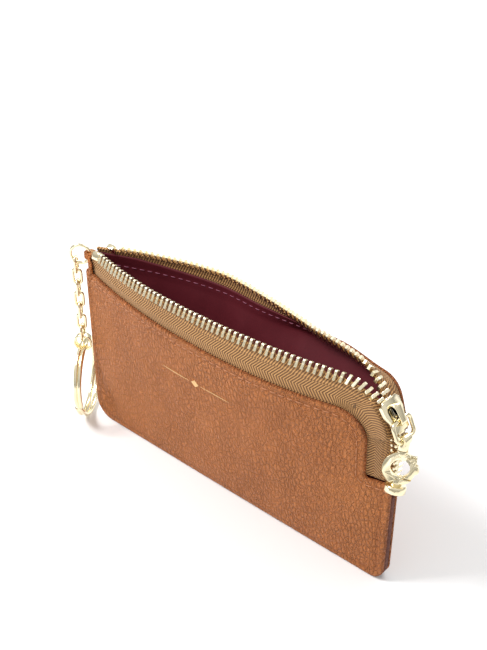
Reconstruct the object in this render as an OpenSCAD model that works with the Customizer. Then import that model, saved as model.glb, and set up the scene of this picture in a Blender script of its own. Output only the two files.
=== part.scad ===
// Zippered coin and card pouch in soft leather, with a key ring on a chain and a snap hook on the slider.
// X runs along the pouch towards the slider, -Y is the front, Z is up.
// The origin is the middle of the bottom edge.

/* [Pouch] */
// Width of the pouch
pouch_w = 135; // [125:1:145]
// Height of the row of teeth above the bottom edge
ridge_h = 73.3; // [70:0.1:78]
// Radius of the corner that the zip turns round
corner_r = 19; // [17:0.5:21]
// Width of zip tape that shows above the leather
tape_show = 8; // [7:0.5:9]
// How far the front stands out where the mouth is open
front_swell = 11.4; // [8:0.1:13]
// How far the back stands out where the mouth is open
back_swell = 15.6; // [12:0.1:17]
// Radius of the bottom corner below the slider
corner_slider = 5; // [3:0.5:8]
// Radius of the bottom corner below the chain
corner_chain = 8; // [5:0.5:10]

/* [Sheet goods] */
// Thickness of the leather
leather_t = 1.2; // [0.9:0.1:1.3]
// Thickness of the lining
lining_t = 0.4; // [0.3:0.1:0.5]
// Thickness of the zip tape
tape_t = 0.6; // [0.4:0.1:0.7]
// Half the thickness of the closed seams
seam_half = 2.3; // [2.2:0.1:2.6]

/* [Zip] */
// Pitch of the teeth in one row
tooth_pitch = 2.07; // [2:0.01:2.2]
// Height of the cut-out that shows the lower end of the zip
cut_z = 41; // [38:1:46]
// Length of the slider
slider_l = 10.5; // [9:0.5:12]
// Place of the slider on the corner, from level
slider_deg = 34; // [30:1:38]

/* [Chain and rings] */
// Number of links in the chain
links = 7; // [7]
// Outer length of a chain link
link_l = 7.3; // [7:0.1:8]
// Outer width of a chain link
link_w = 4.2; // [4:0.1:4.6]
// Thickness of the chain wire
wire_d = 1.2; // [1:0.1:1.2]
// Outer diameter of the split ring
key_ring_d = 31; // [28:0.5:31]
// Direction that the chain's wide links face along
chain_turn = 35; // [30:1:40]

/* [Hidden] */
$fn = 32;
FRONT = -1;
BACK = 1;
leather_col = [0.72, 0.42, 0.26];
lining_col = [0.33, 0.1, 0.14];
tape_col = [0.66, 0.46, 0.27];
gold_col = [0.9, 0.82, 0.6];

half_w = pouch_w / 2;
arc_x = half_w - 0.5 - corner_r;
arc_z = ridge_h - corner_r;
leather_top = ridge_h - tape_show;
tape_hidden = 3;
tape_edge_y = 0.95;
sheet_gap = 0.1;
row_start = -58.5;

// ---- shape of the mouth and of the two sides ----
// 1 at the widest place and 0 at both ends
function hump(x, peak, low, high, power) =
  1 - pow(min(1, abs(x - peak) / (x < peak ? peak - low : high - peak)), power);
function swell(side) = side == FRONT ? front_swell : back_swell;
function side_hump(side, x) =
  side == FRONT ? hump(x, 8, -half_w, half_w, 2.2) : hump(x, -14, -half_w, half_w, 1.6);
function rise(z) = pow(max(0, min(1, z / leather_top)), 0.75);
function panel_y(side, x, z) = side * (seam_half + swell(side) * side_hump(side, x) * rise(z));
function ridge_hump(side, x) =
  side == FRONT ? 8.7 * hump(x, -8, -66, 62, 2.2)
  : 15.7 * hump(x, -15, -66, 62, 1.5) + 1.6 * hump(x, 48, 28, 61, 2);
function ridge_y(side, x) = side * (tape_edge_y + ridge_hump(side, x));

// ---- the zip's path along the top, round the corner and down the side ----
top_l = arc_x - row_start;
arc_l = corner_r * PI / 2;
stop_z = cut_z + 2.4;
path_l = top_l + arc_l + arc_z - stop_z;
function turn(s) = s < top_l ? 90 : s < top_l + arc_l ? 90 - (s - top_l) / corner_r * 180 / PI : 0;
function path_x(s, w) = s < top_l ? row_start + s : arc_x + (corner_r - w) * cos(turn(s));
function path_z(s, w) =
  s < top_l ? ridge_h - w
  : s < top_l + arc_l ? arc_z + (corner_r - w) * sin(turn(s)) : arc_z - (s - top_l - arc_l);
function foot_x(s) = path_x(s, 0);
// 0 where the mouth is open and 1 where the zip is closed
function closed(s) = min(1, max(0, (s - top_l) / (arc_l * 0.45)));

// ---- thin sheets as closed grids ----
// far and near hold rows of points of the two faces
module sheet(far, near) {
  rows = len(far);
  cols = len(far[0]);
  n = rows * cols;
  points = concat([for (r = far) each r], [for (r = near) each r]);
  faces = concat(
    [for (r = [0:rows - 2], c = [0:cols - 2]) each
      [[r * cols + c, r * cols + c + 1, (r + 1) * cols + c + 1],
       [r * cols + c, (r + 1) * cols + c + 1, (r + 1) * cols + c],
       [n + r * cols + c, n + (r + 1) * cols + c + 1, n + r * cols + c + 1],
       [n + r * cols + c, n + (r + 1) * cols + c, n + (r + 1) * cols + c + 1]]],
    [for (r = [0:rows - 2]) each
      [[r * cols, (r + 1) * cols, n + (r + 1) * cols],
       [r * cols, n + (r + 1) * cols, n + r * cols],
       [(r + 1) * cols - 1, n + (r + 1) * cols - 1, n + (r + 2) * cols - 1],
       [(r + 1) * cols - 1, n + (r + 2) * cols - 1, (r + 2) * cols - 1]]],
    [for (c = [0:cols - 2]) each
      [[c, n + c, n + c + 1],
       [c, n + c + 1, c + 1],
       [(rows - 1) * cols + c, (rows - 1) * cols + c + 1, n + (rows - 1) * cols + c + 1],
       [(rows - 1) * cols + c, n + (rows - 1) * cols + c + 1, n + (rows - 1) * cols + c]]]);
  polyhedron(points, faces, convexity = 8);
}

// Lower edge of a sheet that stays inset from the rounded bottom corners
function low_z(x, inset) =
  let (left = x + half_w - inset, right = half_w - inset - x)
  let (rl = corner_chain - inset, rr = corner_slider - inset)
  inset + (left < rl ? rl - sqrt(max(0, rl * rl - pow(rl - left, 2)))
    : right < rr ? rr - sqrt(max(0, rr * rr - pow(rr - right, 2))) : 0);
// Upper edge of the leather, with the step that shows the end of the zip
cut_r = corner_r - tape_show;
function leather_z(x) =
  x < arc_x ? leather_top
  : x < arc_x + cut_r - 0.01 ? arc_z + sqrt(max(0, cut_r * cut_r - pow(x - arc_x, 2))) : cut_z;
// Upper edge of the lining
lining_w = 3.5;
lining_r = corner_r - lining_w;
function lining_z(x) =
  x < arc_x ? ridge_h - lining_w : arc_z + sqrt(max(0, lining_r * lining_r - pow(x - arc_x, 2)));

z_steps = [0, 0.06, 0.16, 0.3, 0.46, 0.62, 0.78, 0.9, 1];

module leather_side(side) {
  xs = concat([for (i = [0:2]) -half_w + corner_chain * (1 - cos(i * 30)) + 0.05],
    [for (i = [0:12]) -half_w + corner_chain + i * (arc_x + half_w - corner_chain) / 12],
    [for (i = [1:3]) arc_x + cut_r * sin(i * 25)],
    [arc_x + cut_r - 0.15, arc_x + cut_r + 0.15],
    [for (i = [0:3]) half_w - corner_slider * (1 - sin(i * 29.5))]);
  function row(x, inner) = [for (t = z_steps)
    let (z = low_z(x, 0) + t * (leather_z(x) - low_z(x, 0)))
    [x, panel_y(side, x, z) - side * inner, z]];
  outer = [for (x = xs) row(x, 0)];
  inner = [for (x = xs) row(x, leather_t)];
  if (side == FRONT)
    sheet(inner, outer);
  else
    sheet(outer, inner);
}

// The lining hangs from the zip tape and lies behind the leather
lining_left = -64;
module lining_side(side) {
  right = arc_x + lining_r - 0.1;
  xs = concat([for (i = [0:14]) lining_left + i * (arc_x - lining_left) / 14],
    [for (i = [1:4]) arc_x + (right - arc_x) * sin(i * 22.5)]);
  function depth(x, z) =
    let (w = x < arc_x ? ridge_h - z : z > arc_z ? corner_r - norm([x - arc_x, z - arc_z])
      : arc_x + corner_r - x)
    let (fx = x < arc_x ? x : z > arc_z ? arc_x + corner_r * (x - arc_x) / norm([x - arc_x, z - arc_z])
      : arc_x + corner_r)
    let (deep = abs(panel_y(side, x, min(z, leather_top))), lip = abs(ridge_y(side, fx)))
    let (t = min(1, w / tape_show))
    max(lining_t + 0.15, lip + (deep - lip - leather_t - sheet_gap) * t - tape_t - 2 * sheet_gap);
  function row(x, inner) = [for (t = z_steps)
    let (z = low_z(x, 3) + t * (lining_z(x) - low_z(x, 3)))
    [x, side * (depth(x, z) - inner), z]];
  outer = [for (x = xs) row(x, 0)];
  inner = [for (x = xs) row(x, lining_t)];
  if (side == FRONT)
    sheet(inner, outer);
  else
    sheet(outer, inner);
}

// Where the slider holds the tape, its edge is left out
slider_s = top_l + (90 - slider_deg) * PI / 180 * corner_r;
divider_x = -slider_l / 2 + 1.4;
divider_s = slider_s + divider_x;
function held(s) = abs(s - slider_s) < slider_l / 2 + 1.5;
module tape_side(side) {
  steps = 46;
  w_all = tape_show + tape_hidden;
  function y_at(s, w) =
    let (edge = panel_y(side, path_x(s, tape_show), min(leather_top, path_z(s, tape_show))))
    let (skin = abs(edge) - leather_t - sheet_gap, lip = abs(ridge_y(side, foot_x(s))))
    let (power = 0.9 - 0.35 * closed(s), t = min(1, w / tape_show))
    lip + (skin - lip) * pow(t, power);
  function deep(s, w) =
    w <= tape_show ? y_at(s, w)
    : abs(panel_y(side, path_x(s, w), min(leather_top, path_z(s, w)))) - leather_t - sheet_gap;
  function row(s, inner) = [for (k = [0:6])
    let (low = held(s) ? 5 : 0.9)
    let (w = low + (w_all - low) * k / 6)
    [path_x(s, w), side * (deep(s, w) - inner), path_z(s, w)]];
  ss = [for (i = [0:steps]) -2 + i * (path_l + 4) / steps];
  outer = [for (s = ss) row(s, 0)];
  inner = [for (s = ss) row(s, tape_t)];
  if (side == FRONT)
    sheet(outer, inner);
  else
    sheet(inner, outer);
}

// ---- teeth ----
tooth_w = 0.85;
tooth_t = 1.8;
tooth_l = 3.1;
tooth_foot = 1.25;
// The slider's divider pushes the two rows apart
function parted(s) = max(0, min(1.35, 2.4 * (1 - pow((s - divider_s) / 3, 2))));
module at_path(s, side) {
  lean = 25 + 65 * min(1, closed(s) * 1.3);
  translate([foot_x(s), ridge_y(side, foot_x(s)) + side * parted(s), path_z(s, 0)])
    rotate([0, 90 - turn(s), 0])
      rotate([side * lean, 0, 0])
        children();
}
module tooth(s, side) {
  at_path(s, side)
    translate([-tooth_w / 2, -tooth_t / 2, -tooth_foot])
      cube([tooth_w, tooth_t, tooth_l]);
}
module teeth_row(side) {
  shift = side == FRONT ? 0 : tooth_pitch / 2;
  for (s = [2 + shift : tooth_pitch : path_l - 0.5])
    tooth(s, side);
}

// ---- leather, lining and tape nodes ----
module front_panel() {
  color(leather_col)
    leather_side(FRONT);
}
module back_panel() {
  color(leather_col)
    leather_side(BACK);
}
module front_lining() {
  color(lining_col)
    lining_side(FRONT);
}
module back_lining() {
  color(lining_col)
    lining_side(BACK);
}
module front_tape() {
  color(tape_col)
    tape_side(FRONT);
}
module back_tape() {
  color(tape_col)
    tape_side(BACK);
}
module front_teeth() {
  color(gold_col)
    teeth_row(FRONT);
}
module back_teeth() {
  color(gold_col)
    teeth_row(BACK);
}

// Turned edge strip that is sewn between the two leather sides
welt_half = 1;
welt_w = 2.6;
welt_left_top = 60;
welt_right_top = 35;
module pouch_outline(inset) {
  x1 = -half_w + inset;
  x2 = half_w - inset;
  rl = corner_chain - inset;
  rr = corner_slider - inset;
  union() {
    translate([x1 + rl, inset])
      square([x2 - rr - x1 - rl, ridge_h]);
    translate([x1, inset + rl])
      square([rl, ridge_h]);
    translate([x2 - rr, inset + rr])
      square([rr, ridge_h]);
    translate([x1 + rl, inset + rl])
      circle(rl, $fn = 64);
    translate([x2 - rr, inset + rr])
      circle(rr, $fn = 64);
  }
}
module side_welt() {
  color(leather_col)
    translate([0, welt_half, 0])
      rotate([90, 0, 0])
        linear_extrude(2 * welt_half)
          difference() {
            pouch_outline(0);
            pouch_outline(welt_w);
            translate([-pouch_w, welt_left_top])
              square([pouch_w, ridge_h]);
            translate([0, welt_right_top])
              square([pouch_w, ridge_h]);
          }
}

// Metal stops at the three ends of the rows
stop_l = 3.4;
module top_stop(side) {
  color(gold_col)
    at_path(-0.9, side)
      translate([-stop_l / 2, -1.1, -1.6])
        cube([stop_l, 2.2, 3]);
}
module top_stop_front() {
  top_stop(FRONT);
}
module top_stop_back() {
  top_stop(BACK);
}
module bottom_stop() {
  color(gold_col)
    translate([half_w - 1.7, -2.1, cut_z + 0.3])
      cube([2.2, 4.2, 2]);
}

// Leather loop at the top of the chain side, with an upright hole for the ring
tab_x = -66.9;
tab_z = 69.9;
tab_half = 0.75;
tab_loop_r = 2.2;
tab_hole_r = 1.05;
tab_loop_h = 2;
module corner_tab() {
  color(leather_col)
    difference() {
      union() {
        translate([-half_w + 0.6, -tab_half, welt_left_top + 0.1])
          cube([2.2, 2 * tab_half, tab_z - welt_left_top]);
        translate([tab_x, 0, tab_z - tab_loop_h / 2])
          cylinder(r = tab_loop_r, h = tab_loop_h, $fn = 48);
      }
      translate([tab_x, 0, tab_z - 6])
        cylinder(r = tab_hole_r, h = 12, $fn = 48);
    }
}

// ---- slider ----
slider_x = arc_x + corner_r * cos(slider_deg);
slider_z = arc_z + corner_r * sin(slider_deg);
plate_t = 0.75;
plate_top = 1.1;
plate_low = -1.95;
mouth_half = 4.3;
tail_half = 3.3;
module at_slider() {
  translate([slider_x, 0, slider_z])
    rotate([0, 90 - slider_deg, 0])
      children();
}
module slider_outline() {
  half_l = slider_l / 2;
  polygon([
    [-half_l, -mouth_half + 1.2], [-half_l + 1.2, -mouth_half], [-1, -mouth_half], [1.5, -tail_half],
    [half_l, -tail_half], [half_l, tail_half], [1.5, tail_half], [-1, mouth_half],
    [-half_l + 1.2, mouth_half], [-half_l, mouth_half - 1.2]]);
}
module slider_channel() {
  half_l = slider_l / 2;
  polygon([
    [-half_l - 1, -mouth_half + 0.4], [-1, -mouth_half + 0.4], [1.5, -tail_half + 0.7],
    [half_l + 1, -tail_half + 0.7], [half_l + 1, tail_half - 0.7], [1.5, tail_half - 0.7],
    [-1, mouth_half - 0.4], [-half_l - 1, mouth_half - 0.4]]);
}
lock_pin_r = 0.45;
lock_gap = 0.5;
lock_slot_l = 2.75;
lock_x = 0;
module slider_body() {
  color(gold_col)
    at_slider()
      difference() {
        union() {
          translate([0, 0, plate_top])
            linear_extrude(plate_t)
              slider_outline();
          translate([0, 0, plate_low - plate_t])
            linear_extrude(plate_t)
              slider_outline();
          translate([0, 0, plate_top - 0.6])
            linear_extrude(0.7)
              difference() {
                slider_outline();
                slider_channel();
              }
          translate([0, 0, plate_low - 0.1])
            linear_extrude(0.7)
              difference() {
                slider_outline();
                slider_channel();
              }
          translate([divider_x - 0.8, -0.4, plate_low - 0.1])
            cube([1.6, 0.8, plate_top - plate_low + 0.2]);
        }
        translate([lock_x - lock_gap, -lock_gap, plate_top - 1])
          cube([lock_slot_l, 2 * lock_gap, 4]);
      }
}
crown_half = 3.4;
crown_w = 2.6;
crown_t = 0.7;
crown_h = 1.6;
module crown_profile(half, top) {
  difference() {
    union() {
      square([2 * (half - 1.2), 2 * top], center = true);
      square([2 * half, 2 * (top - 1.2)], center = true);
      for (x = [-1, 1])
        translate([x * (half - 1.2), top - 1.2])
          circle(1.2, $fn = 48);
    }
    translate([-10, -20])
      square([20, 20]);
  }
}
module slider_crown() {
  color(gold_col)
    at_slider()
      translate([0, 0, plate_top + plate_t])
        rotate([90, 0, 0])
          translate([0, 0, -crown_w / 2])
            linear_extrude(crown_w)
              difference() {
                crown_profile(crown_half, crown_h + crown_t);
                crown_profile(crown_half - crown_t, crown_h);
              }
}
// The pin drops between two teeth when the puller hangs
module slider_lock_pin() {
  color(gold_col)
    at_slider()
      translate([lock_x, 0, plate_top + 0.1])
        cylinder(r = lock_pin_r, h = plate_t - 0.1, $fn = 32);
}
module slider_lock_spring() {
  color("silver")
    at_slider()
      translate([-2.6, -0.9, plate_top + plate_t + 0.1])
        cube([3.5, 1.8, 0.2]);
}

// ---- puller ----
bail_r = 0.65;
bail_out = 2.6;
bail_along = crown_half - crown_t - bail_r - 0.2;
bail_x = slider_x + bail_out * cos(slider_deg) + bail_along * sin(slider_deg);
bail_z = slider_z + bail_out * sin(slider_deg) - bail_along * cos(slider_deg);
puller_lean = 26;
puller_l = 6.2;
puller_half = 4.3;
bend_r = 1.6;
module corner_bend() {
  rotate_extrude(angle = 90, $fn = 48)
    translate([bend_r, 0])
      circle(bail_r, $fn = 24);
}
module puller_link() {
  straight = puller_half - bend_r;
  color(gold_col)
    translate([bail_x, 0, bail_z])
      rotate([0, -puller_lean, 0])
        rotate([0, 90, 0]) {
          for (x = [0, puller_l])
            translate([x, -straight, 0])
              rotate([-90, 0, 0])
                cylinder(r = bail_r, h = 2 * straight, $fn = 24);
          for (y = [-puller_half, puller_half])
            translate([bend_r, y, 0])
              rotate([0, 90, 0])
                cylinder(r = bail_r, h = puller_l - 2 * bend_r, $fn = 24);
          translate([puller_l - bend_r, straight, 0])
            corner_bend();
          translate([bend_r, straight, 0])
            rotate([0, 0, 90])
              corner_bend();
          translate([bend_r, -straight, 0])
            rotate([0, 0, 180])
              corner_bend();
          translate([puller_l - bend_r, -straight, 0])
            rotate([0, 0, 270])
              corner_bend();
        }
}

// ---- snap hook ----
eye_x = bail_x + puller_l * sin(puller_lean);
eye_z = bail_z - puller_l * cos(puller_lean);
eye_y = -1;
eye_half = 1.7;
eye_r = 1.65;
neck_r = 1.7;
eye_bore_r = bail_r + 0.1;
hook_lean_y = 20;
hook_lean_x = -6;
hook_turn = 30;
swivel_gap = 0.05;
stem_r = 0.8;
module at_hook() {
  translate([eye_x, eye_y, eye_z])
    rotate([-hook_lean_y, hook_lean_x, 0])
      rotate([0, 0, hook_turn])
        children();
}
eye_low = 3;
module clasp_eye() {
  color(gold_col)
    difference() {
      union() {
        translate([eye_x, eye_y + eye_half, eye_z])
          rotate([90, 0, 0])
            cylinder(r = eye_r, h = 2 * eye_half, $fn = 48);
        at_hook()
          translate([0, 0, -eye_low])
            cylinder(r = neck_r, h = eye_low, $fn = 48);
      }
      translate([eye_x, eye_y + 5, eye_z])
        rotate([90, 0, 0])
          cylinder(r = eye_bore_r, h = 10, $fn = 32);
      at_hook()
        translate([0, 0, -eye_low - 1])
          cylinder(r = stem_r + swivel_gap, h = 2.4, $fn = 32);
    }
}
hook_r = 5;
hook_hole_r = 2.9;
hook_z = -8.6;
hook_half = 1.5;
gate_swing = 18;
gate_pin_r = 0.5;
gate_u = 3.6;
gate_w = hook_z + 2.85;
module flat(half) {
  translate([0, half, 0])
    rotate([90, 0, 0])
      linear_extrude(2 * half)
        children();
}
// Wedge of the hook that the gate closes
module gate_window(spread) {
  polygon([[0.6, hook_z + 0.4], [1.8, hook_z + 4 + spread], [9, hook_z + 4 + spread],
    [9, hook_z - 2.9 - spread], [1.3, hook_z - 2.9 - spread]]);
}
// Where the gate may go when it is pushed in
module gate_room() {
  gate_window(-0.2);
  translate([0.3, hook_z])
    circle(hook_hole_r - 0.1, $fn = 64);
}
module clasp_body() {
  color(gold_col)
    at_hook()
      difference() {
        union() {
          flat(hook_half)
            difference() {
              translate([0, hook_z])
                circle(hook_r, $fn = 96);
              translate([0.3, hook_z])
                circle(hook_hole_r, $fn = 64);
              gate_window(0);
            }
          translate([0, 0, hook_z - hook_r - 0.4])
            cylinder(r = neck_r, h = 2, $fn = 48);
          translate([0, 0, -eye_low - 1.7])
            cylinder(r = neck_r, h = 1.5, $fn = 48);
          translate([0, 0, -eye_low - 0.3])
            cylinder(r = stem_r, h = 1.6, $fn = 32);
          flat(0.6)
            translate([2.2, hook_z + 2.25])
              square([2.4, 2.05]);
        }
        translate([gate_u, 3, gate_w])
          rotate([90, 0, 0])
            cylinder(r = gate_pin_r, h = 6, $fn = 32);
      }
}
module clasp_collar() {
  color(gold_col)
    at_hook()
      translate([0, 0, hook_z - hook_r - 2.9])
        cylinder(r = 3.3, h = 2.5, $fn = 64);
}
module clasp_gate() {
  color(gold_col)
    at_hook()
      difference() {
        flat(1.3)
          difference() {
            union() {
              intersection() {
                translate([0, hook_z])
                  circle(hook_r - 0.2, $fn = 96);
                gate_window(-0.25);
                translate([gate_u, gate_w])
                  rotate(gate_swing)
                    translate([-gate_u, -gate_w])
                      gate_room();
              }
              translate([gate_u, gate_w])
                circle(1.15, $fn = 32);
              translate([gate_u + 0.9, hook_z + 0.4])
                circle(1.3, $fn = 32);
            }
            translate([0.3, hook_z])
              circle(hook_hole_r, $fn = 64);
          }
        flat(0.75)
          translate([0, gate_w - 1.45])
            square([8, 4]);
        translate([gate_u, 3, gate_w])
          rotate([90, 0, 0])
            cylinder(r = gate_pin_r + 0.05, h = 6, $fn = 32);
      }
}
module clasp_gate_pin() {
  color(gold_col)
    at_hook()
      translate([gate_u, 1.3, gate_w])
        rotate([90, 0, 0])
          cylinder(r = gate_pin_r, h = 2.6, $fn = 32);
}
module clasp_gate_spring() {
  color("silver")
    at_hook()
      flat(0.4)
        translate([gate_u - 0.5, gate_w - 1.15])
          square([1, 0.4]);
}

// ---- chain and rings ----
wire_r = wire_d / 2;
ring_r = 3.6;
hang_deg = 58;
hang_gap = 0.05;
chain_dir = [cos(chain_turn), sin(chain_turn), 0];
ring_c = [tab_x - ring_r * chain_dir[0], -ring_r * chain_dir[1], tab_z];
hang_x = ring_c[0] - ring_r * cos(hang_deg) * chain_dir[0];
hang_y = ring_c[1] - ring_r * cos(hang_deg) * chain_dir[1];
first_z = tab_z - ring_r * sin(hang_deg) + 2 * wire_r + 0.45;
link_c = link_l - wire_d;
link_pitch = link_c - wire_d - hang_gap;
link_half = link_w / 2 - wire_r;
module oval(half, length, r) {
  for (x = [-half, half])
    translate([x, 0, -length + half])
      cylinder(r = r, h = length - 2 * half, $fn = 24);
  for (k = [0, 1])
    translate([0, 0, k == 0 ? -half : -length + half])
      rotate([90, 0, 0])
        rotate([0, 0, 180 * k])
          rotate_extrude(angle = 180, $fn = 48)
            translate([half, 0])
              circle(r, $fn = 24);
}
module corner_ring() {
  color(gold_col)
    translate(ring_c)
      rotate([0, 0, chain_turn])
        rotate([90, 0, 0])
          rotate_extrude($fn = 64)
            translate([ring_r, 0])
              circle(wire_r, $fn = 24);
}
// The last link is wider, because the band passes through it
last_half = 2.25;
module chain_link(k) {
  color(gold_col)
    translate([hang_x, hang_y, first_z - (k - 1) * link_pitch])
      rotate([0, 0, chain_turn + (k % 2 == 1 ? 90 : 0)])
        oval(k == links ? last_half : link_half, link_c, wire_r);
}
module chain_link_1() {
  chain_link(1);
}
module chain_link_2() {
  chain_link(2);
}
module chain_link_3() {
  chain_link(3);
}
module chain_link_4() {
  chain_link(4);
}
module chain_link_5() {
  chain_link(5);
}
module chain_link_6() {
  chain_link(6);
}
module chain_link_7() {
  chain_link(7);
}
band_r = 3.6;
band_t = 0.8;
band_w = 2.8;
band_rest = 1.48;
last_z = first_z - (links - 1) * link_pitch - link_c;
band_z = last_z + band_rest - band_r + band_t;
module connector_ring() {
  color(gold_col)
    translate([hang_x, hang_y, band_z])
      rotate([0, 0, chain_turn])
        rotate([90, 0, 0])
          difference() {
            translate([0, 0, -band_w / 2])
              cylinder(r = band_r, h = band_w, $fn = 64);
            translate([0, 0, -band_w])
              cylinder(r = band_r - band_t, h = 2 * band_w, $fn = 64);
          }
}
coil_r = 0.85;
key_c = key_ring_d / 2 - coil_r;
key_turn = 35;
key_drop = 1.3;
key_z = band_z - key_drop - key_c;
module key_ring() {
  color(gold_col)
    translate([hang_x, hang_y, key_z])
      rotate([0, 0, key_turn])
        rotate([0, 90, 0])
          union()
            for (side = [-1, 1])
              translate([0, 0, side * coil_r * 0.97])
                rotate_extrude($fn = 96)
                  translate([key_c, 0])
                    circle(coil_r, $fn = 24);
}

front_panel();
back_panel();
front_lining();
back_lining();
side_welt();
front_tape();
back_tape();
front_teeth();
back_teeth();
top_stop_front();
top_stop_back();
bottom_stop();
corner_tab();
slider_body();
slider_crown();
slider_lock_pin();
slider_lock_spring();
puller_link();
clasp_eye();
clasp_body();
clasp_collar();
clasp_gate();
clasp_gate_pin();
clasp_gate_spring();
corner_ring();
chain_link_1();
chain_link_2();
chain_link_3();
chain_link_4();
chain_link_5();
chain_link_6();
chain_link_7();
connector_ring();
key_ring();
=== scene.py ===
"""Zippered leather pouch: the looks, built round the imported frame.

Lengths in the shape functions are millimetres; meshes are in metres. X runs towards the slider,
-Y is the front and Z is up, as in the frame.
"""
import math

import bpy
import numpy as np
from mathutils import Matrix, Vector, noise
from mathutils.geometry import delaunay_2d_cdt


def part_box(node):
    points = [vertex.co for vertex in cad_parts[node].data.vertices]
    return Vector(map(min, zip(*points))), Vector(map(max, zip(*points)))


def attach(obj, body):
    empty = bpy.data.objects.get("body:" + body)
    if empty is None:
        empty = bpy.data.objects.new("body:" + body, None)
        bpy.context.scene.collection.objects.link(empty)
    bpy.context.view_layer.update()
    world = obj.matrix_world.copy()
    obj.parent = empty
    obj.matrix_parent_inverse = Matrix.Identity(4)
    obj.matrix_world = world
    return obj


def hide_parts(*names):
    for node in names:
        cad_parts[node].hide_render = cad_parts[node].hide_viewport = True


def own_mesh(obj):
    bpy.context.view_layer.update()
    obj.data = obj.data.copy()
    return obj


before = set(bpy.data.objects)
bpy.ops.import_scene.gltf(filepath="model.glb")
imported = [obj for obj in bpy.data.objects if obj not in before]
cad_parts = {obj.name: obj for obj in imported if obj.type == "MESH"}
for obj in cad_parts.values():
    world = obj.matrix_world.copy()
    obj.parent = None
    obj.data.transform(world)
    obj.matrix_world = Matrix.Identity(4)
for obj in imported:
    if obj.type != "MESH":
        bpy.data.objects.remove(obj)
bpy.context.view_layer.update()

MM = 0.001
FRONT, BACK = -1, 1


# ---------------------------------------------------------------- sizes, from the frame
def box_mm(node):
    low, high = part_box(node)
    return np.array(low) / MM, np.array(high) / MM


HALF_W = box_mm("side_welt")[1][0]
LEATHER_TOP = box_mm("front_panel")[1][2]
TAPE_SHOW = 8.0
RIDGE_H = LEATHER_TOP + TAPE_SHOW
CORNER_R = 19.0
ARC_X = HALF_W - 0.5 - CORNER_R
ARC_Z = RIDGE_H - CORNER_R
CUT_R = CORNER_R - TAPE_SHOW
CUT_Z = 41.0
STEP_R = 1.0
SEAM_HALF = -box_mm("front_panel")[1][1] + 1.2
LEATHER_T = 1.2
LINING_T = 0.4
TAPE_T = 0.55
TOOTH_PITCH = 2.07
TAPE_EDGE_Y = 0.95
ROW_START = -58.5
CORNER_SLIDER, CORNER_CHAIN = 5.0, 8.0
SLIDER_DEG = 34.0


# ---------------------------------------------------------------- shape of the open mouth
def hump(x, peak, low, high, power):
    x = np.asarray(x, float)
    reach = np.where(x < peak, peak - low, high - peak)
    return 1 - np.minimum(1, np.abs(x - peak) / reach) ** power


def side_hump(side, x):
    if side == FRONT:
        return 11.4 * hump(x, 8, -HALF_W, HALF_W, 2.2)
    return 15.6 * hump(x, -14, -HALF_W, HALF_W, 1.6)


def rise(z):
    return np.clip(np.asarray(z, float) / LEATHER_TOP, 0, 1) ** 0.75


def panel_depth(side, x, z):
    """How far the outer face of the leather stands from the middle plane."""
    return SEAM_HALF + side_hump(side, x) * rise(z)


def ridge_depth(side, x):
    """How far the edge of the tape stands from the middle plane."""
    if side == FRONT:
        return TAPE_EDGE_Y + 8.7 * hump(x, -8, -66, 62, 2.2)
    return TAPE_EDGE_Y + 15.7 * hump(x, -15, -66, 62, 1.5) + 1.6 * hump(x, 48, 28, 61, 2)


TOP_L = ARC_X - ROW_START
ARC_L = CORNER_R * math.pi / 2
PATH_L = TOP_L + ARC_L + ARC_Z - CUT_Z - 2.4
SLIDER_S = TOP_L + math.radians(90 - SLIDER_DEG) * CORNER_R


def turn_of(s):
    """Direction that the row of teeth faces at s: 90 degrees is up and 0 is towards +X."""
    return np.clip(90 - (np.asarray(s, float) - TOP_L) / CORNER_R * 180 / math.pi, 0, 90)


def path_xz(s, w):
    """Point of the zip's path at s, w inside the row of teeth."""
    s, w = np.broadcast_arrays(np.asarray(s, float), np.asarray(w, float))
    turn = np.radians(turn_of(s))
    x = np.where(s < TOP_L, ROW_START + s, ARC_X + (CORNER_R - w) * np.cos(turn))
    z = np.where(s < TOP_L, RIDGE_H - w, ARC_Z + (CORNER_R - w) * np.sin(turn))
    z = np.where(s > TOP_L + ARC_L, ARC_Z - (s - TOP_L - ARC_L), z)
    return x, z


def closed_at(s):
    return np.clip((np.asarray(s, float) - TOP_L) / (ARC_L * 0.45), 0, 1)


def smooth(t):
    t = np.clip(t, 0, 1)
    return t * t * (3 - 2 * t)


# ---------------------------------------------------------------- how the back leans away
def path_place(x, z):
    """The zip's path length and the distance inside the row of teeth at a point of a side."""
    x, z = np.asarray(x, float), np.asarray(z, float)
    angle = np.degrees(np.arctan2(z - ARC_Z, np.maximum(x - ARC_X, 1e-9)))
    above = z > ARC_Z
    s = np.where(above, TOP_L + CORNER_R * np.radians(90 - angle), TOP_L + ARC_L + ARC_Z - z)
    w = np.where(above, CORNER_R - np.hypot(x - ARC_X, z - ARC_Z), ARC_X + CORNER_R - x)
    return np.where(x < ARC_X, x - ROW_START, s), np.where(x < ARC_X, RIDGE_H - z, w)


def lean_of(s):
    """How far the edge of the back leather is drawn up and out towards the slider."""
    fade = smooth((150 - s) / 20)
    lift = 4.5 * smooth((s - 55) / 45) + 3.1 * smooth((s - 108) / 14)
    out = 5.2 * smooth((s - 55) / 40) * (1 - 0.75 * smooth((s - 112) / 20))
    return lift * fade, out * fade


def lean_share(w):
    return np.where(w < TAPE_SHOW, np.clip(w / TAPE_SHOW, 0, 1), np.exp(-((w - TAPE_SHOW) / 6.5) ** 2))


def leaned(side, points):
    """Points of a side, with the back drawn up and out near the slider."""
    points = np.asarray(points, float)
    if side == FRONT:
        return points
    s, w = path_place(points[..., 0], points[..., 2])
    lift, out = lean_of(s)
    share = lean_share(w)
    turn = np.radians(turn_of(s))
    move = np.stack([lift * share * np.cos(turn), out * share, lift * share * np.sin(turn)], axis=-1)
    return points + move


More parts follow.
